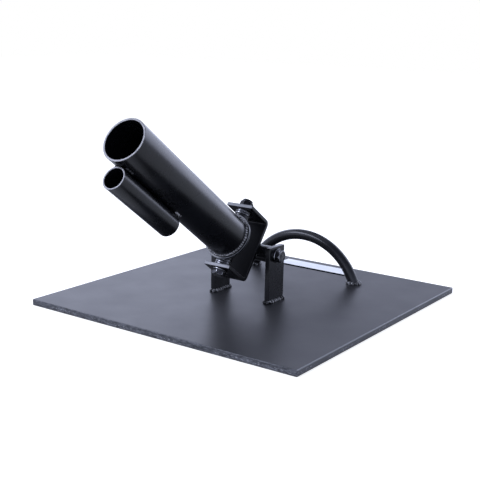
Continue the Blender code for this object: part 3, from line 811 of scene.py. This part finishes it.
# %% Hexagons
ACROSS_FLATS = 0.017
CHAMFER_ANGLE = math.radians(30.0)
CHAMFER_START = 0.94
HEX_EDGE_ANGLE = 25.0


def trimming_cone(radius1, radius2, low, high):
    """A cone about Z between two heights."""
    bpy.ops.mesh.primitive_cone_add(vertices=96, radius1=radius1, radius2=radius2, depth=high - low,
                                    location=(0.0, 0.0, (low + high) / 2))
    return bpy.context.object


def hexagon(height, both_ends, turn):
    """A hexagonal prism from z = 0 with its corners trimmed; one of its flats faces the angle turn."""
    prism = rod(ACROSS_FLATS / math.sqrt(3), 0.0, height, 6, turn)
    flat = CHAMFER_START * ACROSS_FLATS / 2
    past = 0.002
    run = 0.02
    inner = flat - past / math.tan(CHAMFER_ANGLE)
    outer = flat + run / math.tan(CHAMFER_ANGLE)
    cut(prism, trimming_cone(outer, inner, height - run, height + past), "INTERSECT")
    if both_ends:
        cut(prism, trimming_cone(inner, outer, -past, run), "INTERSECT")
    return prism


print("across flats", round(ACROSS_FLATS * 1000, 2), "mm")

# %% [markdown]
# The thread is a ridge wound round the shank. The Screw modifier sweeps one small triangle round the
# axis and up by the pitch at each turn, and both ends of the ridge are then closed.

# %% Threads
SHANK_RADIUS = 0.005
THREAD_PITCH = 0.0015
THREAD_DEPTH = 0.0009


def thread_ridge(low, turns):
    """A wound ridge about Z that starts at low and climbs by the pitch each turn."""
    root = SHANK_RADIUS - THREAD_DEPTH
    bpy.ops.mesh.primitive_circle_add(vertices=3, radius=THREAD_PITCH / 2, fill_type="NOTHING")
    ridge = bpy.context.object
    corners = [(SHANK_RADIUS, 0.0), (root, -THREAD_PITCH / 2), (root, THREAD_PITCH / 2)]
    for vertex, (out, up) in zip(ridge.data.vertices, corners):
        vertex.co = (out, 0.0, low + up)
    modify(ridge, "SCREW", angle=2 * math.pi, screw_offset=THREAD_PITCH, iterations=turns, steps=36,
           render_steps=36)
    edit()
    bpy.ops.mesh.select_mode(type="EDGE")
    bpy.ops.mesh.select_all(action="DESELECT")
    bpy.ops.mesh.select_non_manifold()
    bpy.ops.mesh.edge_face_add()
    face_outwards()
    done()
    return ridge


def join(pieces):
    """Join pieces into the first one."""
    bpy.ops.object.select_all(action="DESELECT")
    for piece in pieces:
        piece.select_set(True)
    bpy.context.view_layer.objects.active = pieces[0]
    bpy.ops.object.join()
    return pieces[0]


print("thread pitch", THREAD_PITCH * 1000, "mm")

# %% [markdown]
# The bolt is a head, a plain shank and a thinner core that carries the ridge. Its tip has a small
# chamfer, which starts the nut. It is built head up, with the head's seat at z = 0, and each head is
# turned as in the photograph. The core and the ridge get the bolt's steel before they are joined,
# because a piece without a finish would show white.

# %% Bolts
HEAD_HEIGHT = 0.0065
HEAD_EDGE = 0.0003
THREADED_LENGTH = 0.026
OVERLAP = 0.002
TIP_CHAMFER = 0.0008
FACING_CAMERA = math.radians(6.4)
PIVOT_HEAD_TURN = math.radians(-2.0)


def bolt(node, matrix, body, length, turn):
    """A hex bolt about Z: the head above z = 0 and the shank below."""
    head = hexagon(HEAD_HEIGHT, False, turn)
    cut(head, rod(SHANK_RADIUS, THREADED_LENGTH - length, HEAD_HEIGHT / 2), "UNION")
    # The head's rounded edges get the bright edge steel, partly a painted glint.
    round_edges(head, HEAD_EDGE, angle=HEX_EDGE_ANGLE, finishes=(bolt_steel, edge_wear_glint_steel))
    core = rod(SHANK_RADIUS - THREAD_DEPTH * 0.9, -length, THREADED_LENGTH + OVERLAP - length)
    round_edges(core, TIP_CHAMFER, 1)
    turns = int(THREADED_LENGTH / THREAD_PITCH) - 1
    ridge = thread_ridge(-length + 0.8 * THREAD_PITCH, turns)
    for part in (core, ridge):
        part.data.materials.append(bolt_steel)
    whole = join([head, core, ridge])
    hand_over(whole, node + "_body", matrix, body, [node], bolt_steel)


bolt_low, bolt_high = span("pivot_bolt", at_pivot)
pivot_seat = bolt_high.x - HEAD_HEIGHT
bolt("pivot_bolt", at_pivot @ Matrix.Translation((pivot_seat, 0.0, 0.0)) @ along_x, "base",
     pivot_seat - bolt_low.x, PIVOT_HEAD_TURN)
bolt_low, bolt_high = span("swivel_bolt", on_yoke)
swivel_seat = bolt_low.z + HEAD_HEIGHT
upside_down = Matrix.Rotation(math.pi, 4, "X")
bolt("swivel_bolt", on_yoke @ Matrix.Translation((0.0, 0.0, swivel_seat)) @ upside_down, "yoke",
     bolt_high.z - swivel_seat, -FACING_CAMERA)

# %% [markdown]
# A lock nut is a hexagon with a round collar that holds a nylon ring. The collar is a cylinder with its
# top edge rolled in, joined by a Boolean, and two more Booleans cut the bore and the ring's seat. The
# nylon ring is a piece of its own colour inside the collar.

# %% Lock nuts
NUT_HEX_HEIGHT = 0.007
NUT_EDGE = 0.0004
COLLAR_RADIUS = 0.0075
COLLAR_ROLL = 0.0014
INSERT_RADIUS = 0.0064
INSERT_SEAT = 0.001
INSERT_GAP = 0.0001
INSERT_THICK = 0.001
INSERT_SUNK = 0.0005
INSERT_EDGE = 0.0002
PIVOT_NUT_TURN = math.radians(12.0)
nylon = powder_coat("nylon_insert", 0.45)


def lock_nut(node, matrix, body, height, turn):
    """A lock nut about Z that stands on z = 0, with its collar up."""
    nut = hexagon(NUT_HEX_HEIGHT, True, turn)
    collar = rod(COLLAR_RADIUS, OVERLAP, height, 96)
    modify(collar, "BEVEL", width=COLLAR_ROLL, segments=6, limit_method="ANGLE")
    cut(nut, collar, "UNION")
    cut(nut, rod(SHANK_RADIUS + SEAT_GAP, -DRILL_LENGTH / 2, DRILL_LENGTH / 2))
    cut(nut, rod(INSERT_RADIUS, height - INSERT_SEAT, height + INSERT_SEAT))
    # The nut's rounded edges get the bright edge steel, partly a painted glint.
    round_edges(nut, NUT_EDGE, angle=HEX_EDGE_ANGLE, finishes=(nut_steel_and_shade, edge_wear_glint_steel))
    hand_over(nut, node + "_body", matrix, body, [node], nut_steel_and_shade)
    top = height - INSERT_SUNK
    insert = ring(INSERT_RADIUS - INSERT_GAP, SHANK_RADIUS + INSERT_GAP, top - INSERT_THICK, top,
                  INSERT_EDGE, 64)
    hand_over(insert, node + "_insert", matrix, body, [], nylon)


nut_low, nut_high = span("pivot_lock_nut", at_pivot)
lock_nut("pivot_lock_nut", at_pivot @ Matrix.Translation((nut_high.x, 0.0, 0.0))
         @ Matrix.Rotation(-math.pi / 2, 4, "Y"), "base", nut_high.x - nut_low.x, PIVOT_NUT_TURN)
nut_low, nut_high = span("swivel_lock_nut", on_yoke)
lock_nut("swivel_lock_nut", on_yoke @ Matrix.Translation((0.0, 0.0, nut_low.z)), "yoke",
         nut_high.z - nut_low.z, FACING_CAMERA)

# %% [markdown]
# ## Weld beads
#
# A hand weld is a row of puddles, each frozen over the edge of the one before, which leaves ripples like
# fallen coins. So one puddle is modelled as a flattened ball and copied at equal steps along the joint,
# leaning back over its neighbour, with small seeded changes of size and place. A voxel remesh then melts
# the row into one skin, and a light smoothing softens the valleys between ripples.

# %% Puddles into a bead
PUDDLE_LEAN = math.radians(28.0)
LEAN_CHANGE = 0.09
SMALLEST = 0.82
LARGEST = 1.14
STRAY_ACROSS = 0.00025
STRAY_OUT = 0.00012
SKIN_STEP = 0.0003


def bead(name, nodes, stations, matrix, body, sizes, finish=weld_glint_coat):
    """A weld from stations of (place, along the joint, out of the corner); sizes are half axes."""
    chance = random.Random(name)
    bpy.ops.mesh.primitive_uv_sphere_add(segments=20, ring_count=12, radius=1.0)
    first = bpy.context.object
    puddles = []
    for place, along, out in stations:
        puddle = first.copy()
        puddle.data = first.data.copy()
        bpy.context.scene.collection.objects.link(puddle)
        across = out.cross(along).normalized()
        turn = Matrix((along, across, out)).transposed().to_4x4()
        lean = Matrix.Rotation(PUDDLE_LEAN + chance.uniform(-LEAN_CHANGE, LEAN_CHANGE), 4, "Y")
        grow = [size * chance.uniform(SMALLEST, LARGEST) for size in sizes]
        sideways = across * chance.uniform(-STRAY_ACROSS, STRAY_ACROSS)
        outwards = out * chance.uniform(-STRAY_OUT, STRAY_OUT)
        shift = Matrix.Translation(Vector(place) + sideways + outwards)
        puddle.matrix_world = shift @ turn @ lean @ Matrix.Diagonal((*grow, 1.0))
        puddles.append(puddle)
    bpy.data.objects.remove(first, do_unlink=True)
    row = join(puddles)
    bpy.ops.object.transform_apply(location=True, rotation=True, scale=True)
    modify(row, "REMESH", mode="VOXEL", voxel_size=SKIN_STEP)
    modify(row, "SMOOTH", factor=0.5, iterations=1)
    row.data.shade_smooth()
    hand_over(row, name, matrix, body, nodes, finish)


print("bead helper ready")

# %% [markdown]
# Puddles need equal steps along the joint, whatever its shape. The walker goes along a line from corner
# to corner, and at each step it notes where it is and which way it goes.


# %% Equal steps along a line
def walk(corners, step, closed):
    """Points at about equal steps along a line through corners, each with its direction."""
    ends = corners[1:] + corners[:1] if closed else corners[1:]
    legs = [(Vector(a), Vector(b)) for a, b in zip(corners, ends)]
    total = sum((b - a).length for a, b in legs)
    count = max(2, round(total / step))
    spacing = total / count
    found = []
    gone = 0.0
    wanted = 0.0 if closed else spacing / 2
    for a, b in legs:
        length = (b - a).length
        while wanted < gone + length - 1e-9:
            along = (b - a).normalized()
            found.append((a + along * (wanted - gone), along))
            wanted += spacing
        gone += length
    return found


print("walker ready")

# %% [markdown]
# Round an upright's foot the joint is a rectangle with small round corners, and the puddles sit a little
# out of the corner between the bar and the plate. The handle's feet are ellipses, because the bar meets
# the plate at a slant.

# %% Welds on the plate
FILLET = (0.0032, 0.0034, 0.0023)
FILLET_OUT = 0.0008
FILLET_RISE = 0.0018
FILLET_STEP = 0.0048
FOOT_CORNER = 0.001
UP = Vector((0.0, 0.0, 1.0))
slant = 1.0 / math.cos(foot_angle)


def foot_bead(name, node, outline):
    """A weld round a foot, along a closed outline on the plate."""
    stations = []
    for point, along in walk(outline, FILLET_STEP, True):
        outward = along.cross(UP).normalized()
        out = (outward + UP).normalized()
        stations.append((point + outward * FILLET_OUT + UP * FILLET_RISE, along, out))
    bead(name, [node], stations, on_base, "base", FILLET)


def rounded(middle, half_x, half_y, radius, height):
    """A rectangle with round corners, counterclockwise, at one height."""
    points = []
    for quarter, (sign_x, sign_y) in enumerate(((1, 1), (-1, 1), (-1, -1), (1, -1))):
        for step in range(5):
            angle = (quarter + step / 4) * math.pi / 2
            points.append((middle.x + sign_x * (half_x - radius) + radius * math.cos(angle),
                           middle.y + sign_y * (half_y - radius) + radius * math.sin(angle), height))
    return points


def handle_foot(sign):
    """The ellipse where the slanting bar meets the plate."""
    points = []
    for index in range(48):
        angle = 2 * math.pi * index / 48
        points.append((sign * HALF_SPAN + bar_radius * slant * math.cos(angle),
                       handle_y + bar_radius * math.sin(angle), PLATE_TOP))
    return points


for side in ("right", "left"):
    low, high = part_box("upright_" + side)
    outline = rounded((low + high) / 2, (high.x - low.x) / 2, (high.y - low.y) / 2, FOOT_CORNER, PLATE_TOP)
    foot_bead("upright_bead_" + side, "upright_weld_" + side, outline)
for side, sign in (("right", 1), ("left", -1)):
    foot_bead("handle_bead_" + side, "handle_weld_" + side, handle_foot(sign))

# %% [markdown]
# The ring weld runs round the tube on the end plate's ledge. Its puddles are smaller and closer, because
# the tube's wall is thin and takes less heat.

# %% Ring weld
RING_STEP = 0.0036
RING_FILLET = (0.0036, 0.0022, 0.0017)
RING_OUT = 0.0005


def ring_stations():
    """Puddles round the large tube, where it meets the end plate."""
    stations = []
    count = round(2 * math.pi * large_radius / RING_STEP)
    for index in range(count):
        angle = 2 * math.pi * index / count
        radial = Vector((math.cos(angle), math.sin(angle), 0.0))
        along = Vector((-math.sin(angle), math.cos(angle), 0.0))
        out = (radial + UP).normalized()
        corner = radial * large_radius + UP * -disc_low.y
        stations.append((corner + out * RING_OUT, along, out))
    return stations


# The ring weld's finish makes the most crests bright, partly as a painted glint.
bead("end_plate_bead", ["end_plate_weld"], ring_stations(), out_of_tube, "socket", RING_FILLET,
     ring_weld_glint_coat)

# %% [markdown]
# The barrels get a straight bead on either side, in the valley between the round barrel and the flat
# steel that it is welded to.

# %% Barrel welds
BARREL_FILLET = (0.0028, 0.0026, 0.0024)
BEAD_BEHIND = 0.0017
BEAD_ASIDE = 0.94
BEAD_BACK = 0.35
PIVOT_BEAD_HEIGHT = 0.0083
PIVOT_BEAD_INSET = 0.001
SWIVEL_BEAD_ASIDE = 0.0078
SWIVEL_BEAD_REACH = 0.029


def straight_stations(start, end, out, step):
    """Puddles along a straight joint."""
    return [(point, along, out) for point, along in walk([start, end], step, False)]


barrel_low, barrel_high = span("pivot_barrel", on_yoke)
barrel_height = (barrel_low.z + barrel_high.z) / 2
for place, sign in (("upper", 1), ("lower", -1)):
    height = barrel_height + sign * PIVOT_BEAD_HEIGHT
    start = Vector((yoke_low.x + PIVOT_BEAD_INSET, yoke_high.y + BEAD_BEHIND, height))
    end = Vector((yoke_high.x - PIVOT_BEAD_INSET, yoke_high.y + BEAD_BEHIND, height))
    out = Vector((0.0, BEAD_BACK, sign * BEAD_ASIDE)).normalized()
    bead("pivot_barrel_bead_" + place, ["pivot_barrel_weld_" + place],
         straight_stations(start, end, out, FILLET_STEP), on_yoke, "yoke", BARREL_FILLET)

for place, sign in (("right", 1), ("left", -1)):
    start = Vector((sign * SWIVEL_BEAD_ASIDE, disc_high.y + BEAD_BEHIND, -SWIVEL_BEAD_REACH))
    end = Vector((sign * SWIVEL_BEAD_ASIDE, disc_high.y + BEAD_BEHIND, SWIVEL_BEAD_REACH))
    out = Vector((sign * BEAD_ASIDE, BEAD_BACK, 0.0)).normalized()
    bead("swivel_barrel_bead_" + place, ["swivel_barrel_weld_" + place],
         straight_stations(start, end, out, FILLET_STEP), on_socket, "socket", BARREL_FILLET)

# %% [markdown]
# The small tube hangs from the large one by two short stitches on each side, one near its mouth and one
# at its rear end. They lie in the narrow valley between the two rounds. The rear ones have bright crests,
# partly rubbed metal and partly painted glint, and the front ones stay black in the shade.

# %% Stitch welds
STITCH_ANGLE = math.radians(17.0)
STITCH_FILLET = (0.0027, 0.0023, 0.0023)
STITCH_SUNK = 0.0012
STITCH_SIDE = large_radius * math.sin(STITCH_ANGLE)
STITCH_HEIGHT = -large_radius * math.cos(STITCH_ANGLE) - STITCH_SUNK
REAR_STITCH = (small_high.y + 0.0045, small_high.y - 0.0085)
FRONT_STITCH = (small_low.y + 0.018, small_low.y + 0.003)


def stitch(place, side, sign, ends, nodes, finish):
    """One stitch beside the small tube, from one end to the other along Y."""
    start, end = [Vector((sign * STITCH_SIDE, y, STITCH_HEIGHT)) for y in ends]
    stations = straight_stations(start, end, Vector((float(sign), 0.0, 0.0)), FILLET_STEP)
    bead("small_tube_" + place + "_bead_" + side, nodes, stations, on_socket, "socket", STITCH_FILLET,
         finish)


for side, sign in (("right", 1), ("left", -1)):
    # The rear stitches' bright crests are partly a painted glint.
    stitch("rear", side, sign, REAR_STITCH, ["small_tube_weld_" + side], weld_glint_coat)
    stitch("front", side, sign, FRONT_STITCH, [], dark_weld_coat)

# %% [markdown]
# ## The blank label
#
# A strip of film is stuck on the plate near its rear edge. Here it stays blank: a pale sheet with a dark
# line along its front edge. The two are thin blocks side by side, each with its own even finish, which
# is simpler than a mask for one straight border.

# %% Blank label
LABEL_LEFT = -0.068
LABEL_RIGHT = 0.060
LABEL_REAR = PLATE_HIGH.y - 0.0145
LABEL_FRONT = PLATE_HIGH.y - 0.051
LABEL_THICK = 0.0002
LABEL_LINE = 0.007
FILM_PALE = (0.86, 0.88, 0.92, 1.0)
FILM_DARK = (0.004, 0.004, 0.006, 1.0)
FILM_SHADE = 0.94
FILM_WAVES = 0.012


def film(name, colour, roughness, gloss):
    """Film: one colour, a little darker along faint waves as painted shade, with the same waviness in its gloss.
    """
    made, shader, maths, place = start_material(name)
    waves = noise(maths, place, FILM_WAVES, 2.0, 0.5)
    shaded = tuple(FILM_SHADE * part for part in colour[:3]) + (1.0,)
    feed(shader, "Base Color", waves.mix(colour, shaded))
    feed(shader, "Roughness", waves * 0.1 + (roughness - 0.05))
    feed(shader, "Specular IOR Level", gloss)
    return made


def strip(name, front, rear, finish):
    """One strip of the film, flat on the plate."""
    piece = add_block((LABEL_LEFT, front, PLATE_TOP), (LABEL_RIGHT, rear, PLATE_TOP + LABEL_THICK))
    hand_over(piece, name, on_base, "base", [], finish)


line_rear = LABEL_FRONT + LABEL_LINE
strip("blank_label", line_rear, LABEL_REAR, film("pale_film", FILM_PALE, 0.3, 0.5))
strip("blank_label_border", LABEL_FRONT, line_rear, film("dark_film", FILM_DARK, 0.7, 0.0))

# %% [markdown]
# ## Camera
#
# The camera's place, turn and lens were fitted to the plate's four corners, the uprights and the tubes'
# mouths in the photograph, whose frame is 480 by 480 pixels.

# %% Camera
FRAME_PIXELS = 480
FOCAL_PIXELS = 947.93
CAMERA_PLACE = Vector((0.7719, -1.1162, 0.4112))
CAMERA_YAW = math.radians(35.385)
CAMERA_PITCH = math.radians(13.322)
CAMERA_ROLL = math.radians(1.198)

camera_data = bpy.data.cameras.new("photo_camera")
camera_data.sensor_width = 36.0
camera_data.lens = FOCAL_PIXELS / FRAME_PIXELS * camera_data.sensor_width
camera = bpy.data.objects.new("photo_camera", camera_data)
bpy.context.scene.collection.objects.link(camera)
camera.matrix_world = (Matrix.Translation(CAMERA_PLACE)
                       @ Matrix.Rotation(CAMERA_YAW, 4, "Z")
                       @ Matrix.Rotation(math.pi / 2 - CAMERA_PITCH, 4, "X")
                       @ Matrix.Rotation(CAMERA_ROLL, 4, "Z"))
bpy.context.scene.camera = camera
print("lens", round(camera_data.lens, 2), "mm")

# %% [markdown]
# ## Surroundings
#
# The photograph has a white ground and dark, glossy steel in front of it. What a black coat shows is
# mostly what it mirrors: the white backdrop near the horizon and a dim room above. So the world answers
# each kind of ray on its own. The camera and clear things see plain white, gloss sees the white backdrop
# fade into the dim room with height, and all other rays get a soft grey fill.

# %% World
FILL_LIGHT = (0.48, 0.52, 0.62, 1.0)
WHITE = (1.0, 1.0, 1.0, 1.0)
BACKDROP = (0.98, 1.05, 1.38, 1.0)
BACKDROP_TOP = math.sin(math.radians(1.0))
ROOM = (0.22, 0.24, 0.33, 1.0)
ROOM_BOTTOM = math.sin(math.radians(42.0))


def rays(tree):
    """Sockets that tell whether a ray is the camera's, a mirrored one, or one that goes through."""
    outputs = Socket(tree).node("ShaderNodeLightPath").output.node.outputs
    return [Socket(tree, outputs["Is %s Ray" % kind]) for kind in ("Camera", "Glossy", "Transmission")]


world = bpy.data.worlds.new("studio")
bpy.context.scene.world = world
world.use_nodes = True
sky = Socket(world.node_tree)
seen, glossy, through = rays(world.node_tree)
ways = sky.node("ShaderNodeTexCoord", output="Generated")
height = sky.node("ShaderNodeSeparateXYZ", {}, {0: ways}, "Z")
mirrored = height.smooth(BACKDROP_TOP, ROOM_BOTTOM).mix(BACKDROP, ROOM)
shown = seen.math("MAXIMUM", through).mix(glossy.mix(FILL_LIGHT, mirrored), WHITE)
feed(world.node_tree.nodes["Background"], "Color", shown)
print("world", world.name)

# %% [markdown]
# The floor is a pale sheet that keeps the object's shadow, and a part of its white is its own, as if the
# paper glowed. In mirrored rays it glows much less, so that the undersides of the tubes stay black.

# %% Floor
FLOOR_COLOUR = (0.66, 0.66, 0.66, 1.0)
FLOOR_GLOW = 0.72
FLOOR_GLOW_IN_GLOSS = 0.06
FLOOR_DROP = 0.0004

bpy.ops.mesh.primitive_plane_add(size=12.0, location=(0.0, 0.0, -FLOOR_DROP))
floor = bpy.context.object
floor.name = "studio_floor"
floor_finish = start_material("studio_floor")[0]
floor_shader = shader_of(floor_finish)
seen, glossy, through = rays(floor_finish.node_tree)
feed(floor_shader, "Base Color", FLOOR_COLOUR)
feed(floor_shader, "Roughness", 0.9)
feed(floor_shader, "Specular IOR Level", 0.0)
feed(floor_shader, "Emission Color", WHITE)
feed(floor_shader, "Emission Strength",
     seen.math("MAXIMUM", through) * FLOOR_GLOW + glossy * FLOOR_GLOW_IN_GLOSS)
floor.data.materials.append(floor_finish)
floor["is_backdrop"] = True
print("floor", floor.name)

# %% [markdown]
# ## Lights
#
# Five soft boxes light the object. The key light in front on the left puts the small glints on the
# bolts, the beads and the cut edges. The box behind on the right draws the long highlight down the
# tubes, the one behind on the left is mirrored by the left half of the plate, and a low one behind by
# the plate's right end. A dim one hangs overhead.

# %% Lights
AIM = Vector((0.0, -0.05, 0.10))
LAMP_COLOUR = (0.90, 0.96, 1.20)


def soft_box(name, direction, height, distance, size, brightness):
    """An area light of (width, height); direction is its compass angle from +Y, height is in degrees."""
    data = bpy.data.lights.new(name, "AREA")
    data.shape = "RECTANGLE"
    data.size, data.size_y = size
    data.color = LAMP_COLOUR
    data.energy = brightness * math.pi * size[0] * size[1]
    lamp = bpy.data.objects.new(name, data)
    bpy.context.scene.collection.objects.link(lamp)
    turn, rise = math.radians(direction), math.radians(height)
    way = Vector((math.sin(turn) * math.cos(rise), math.cos(turn) * math.cos(rise), math.sin(rise)))
    lamp.location = AIM + distance * way
    lamp.rotation_euler = (-way).to_track_quat("-Z", "Y").to_euler()


soft_box("key_box", -138.0, 39.0, 2.0, (1.5, 0.55), 7.5)
soft_box("back_right_box", 14.0, 21.0, 2.0, (1.4, 1.4), 1.25)
soft_box("back_left_box", -55.0, 24.0, 2.0, (1.4, 1.4), 1.25)
soft_box("low_back_box", -22.0, 11.0, 2.2, (0.9, 0.3), 0.95)
soft_box("overhead_box", -100.0, 78.0, 2.0, (1.4, 1.4), 0.5)

# %% [markdown]
# ## Sizes
#
# The box round the dressed part is printed. The colours are shown as they are, without a film look.

# %% Write the sizes and finish
bpy.context.scene.view_settings.view_transform = "Standard"
low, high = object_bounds()
print("visual box:", [round(v, 4) for v in (*low, *high)])
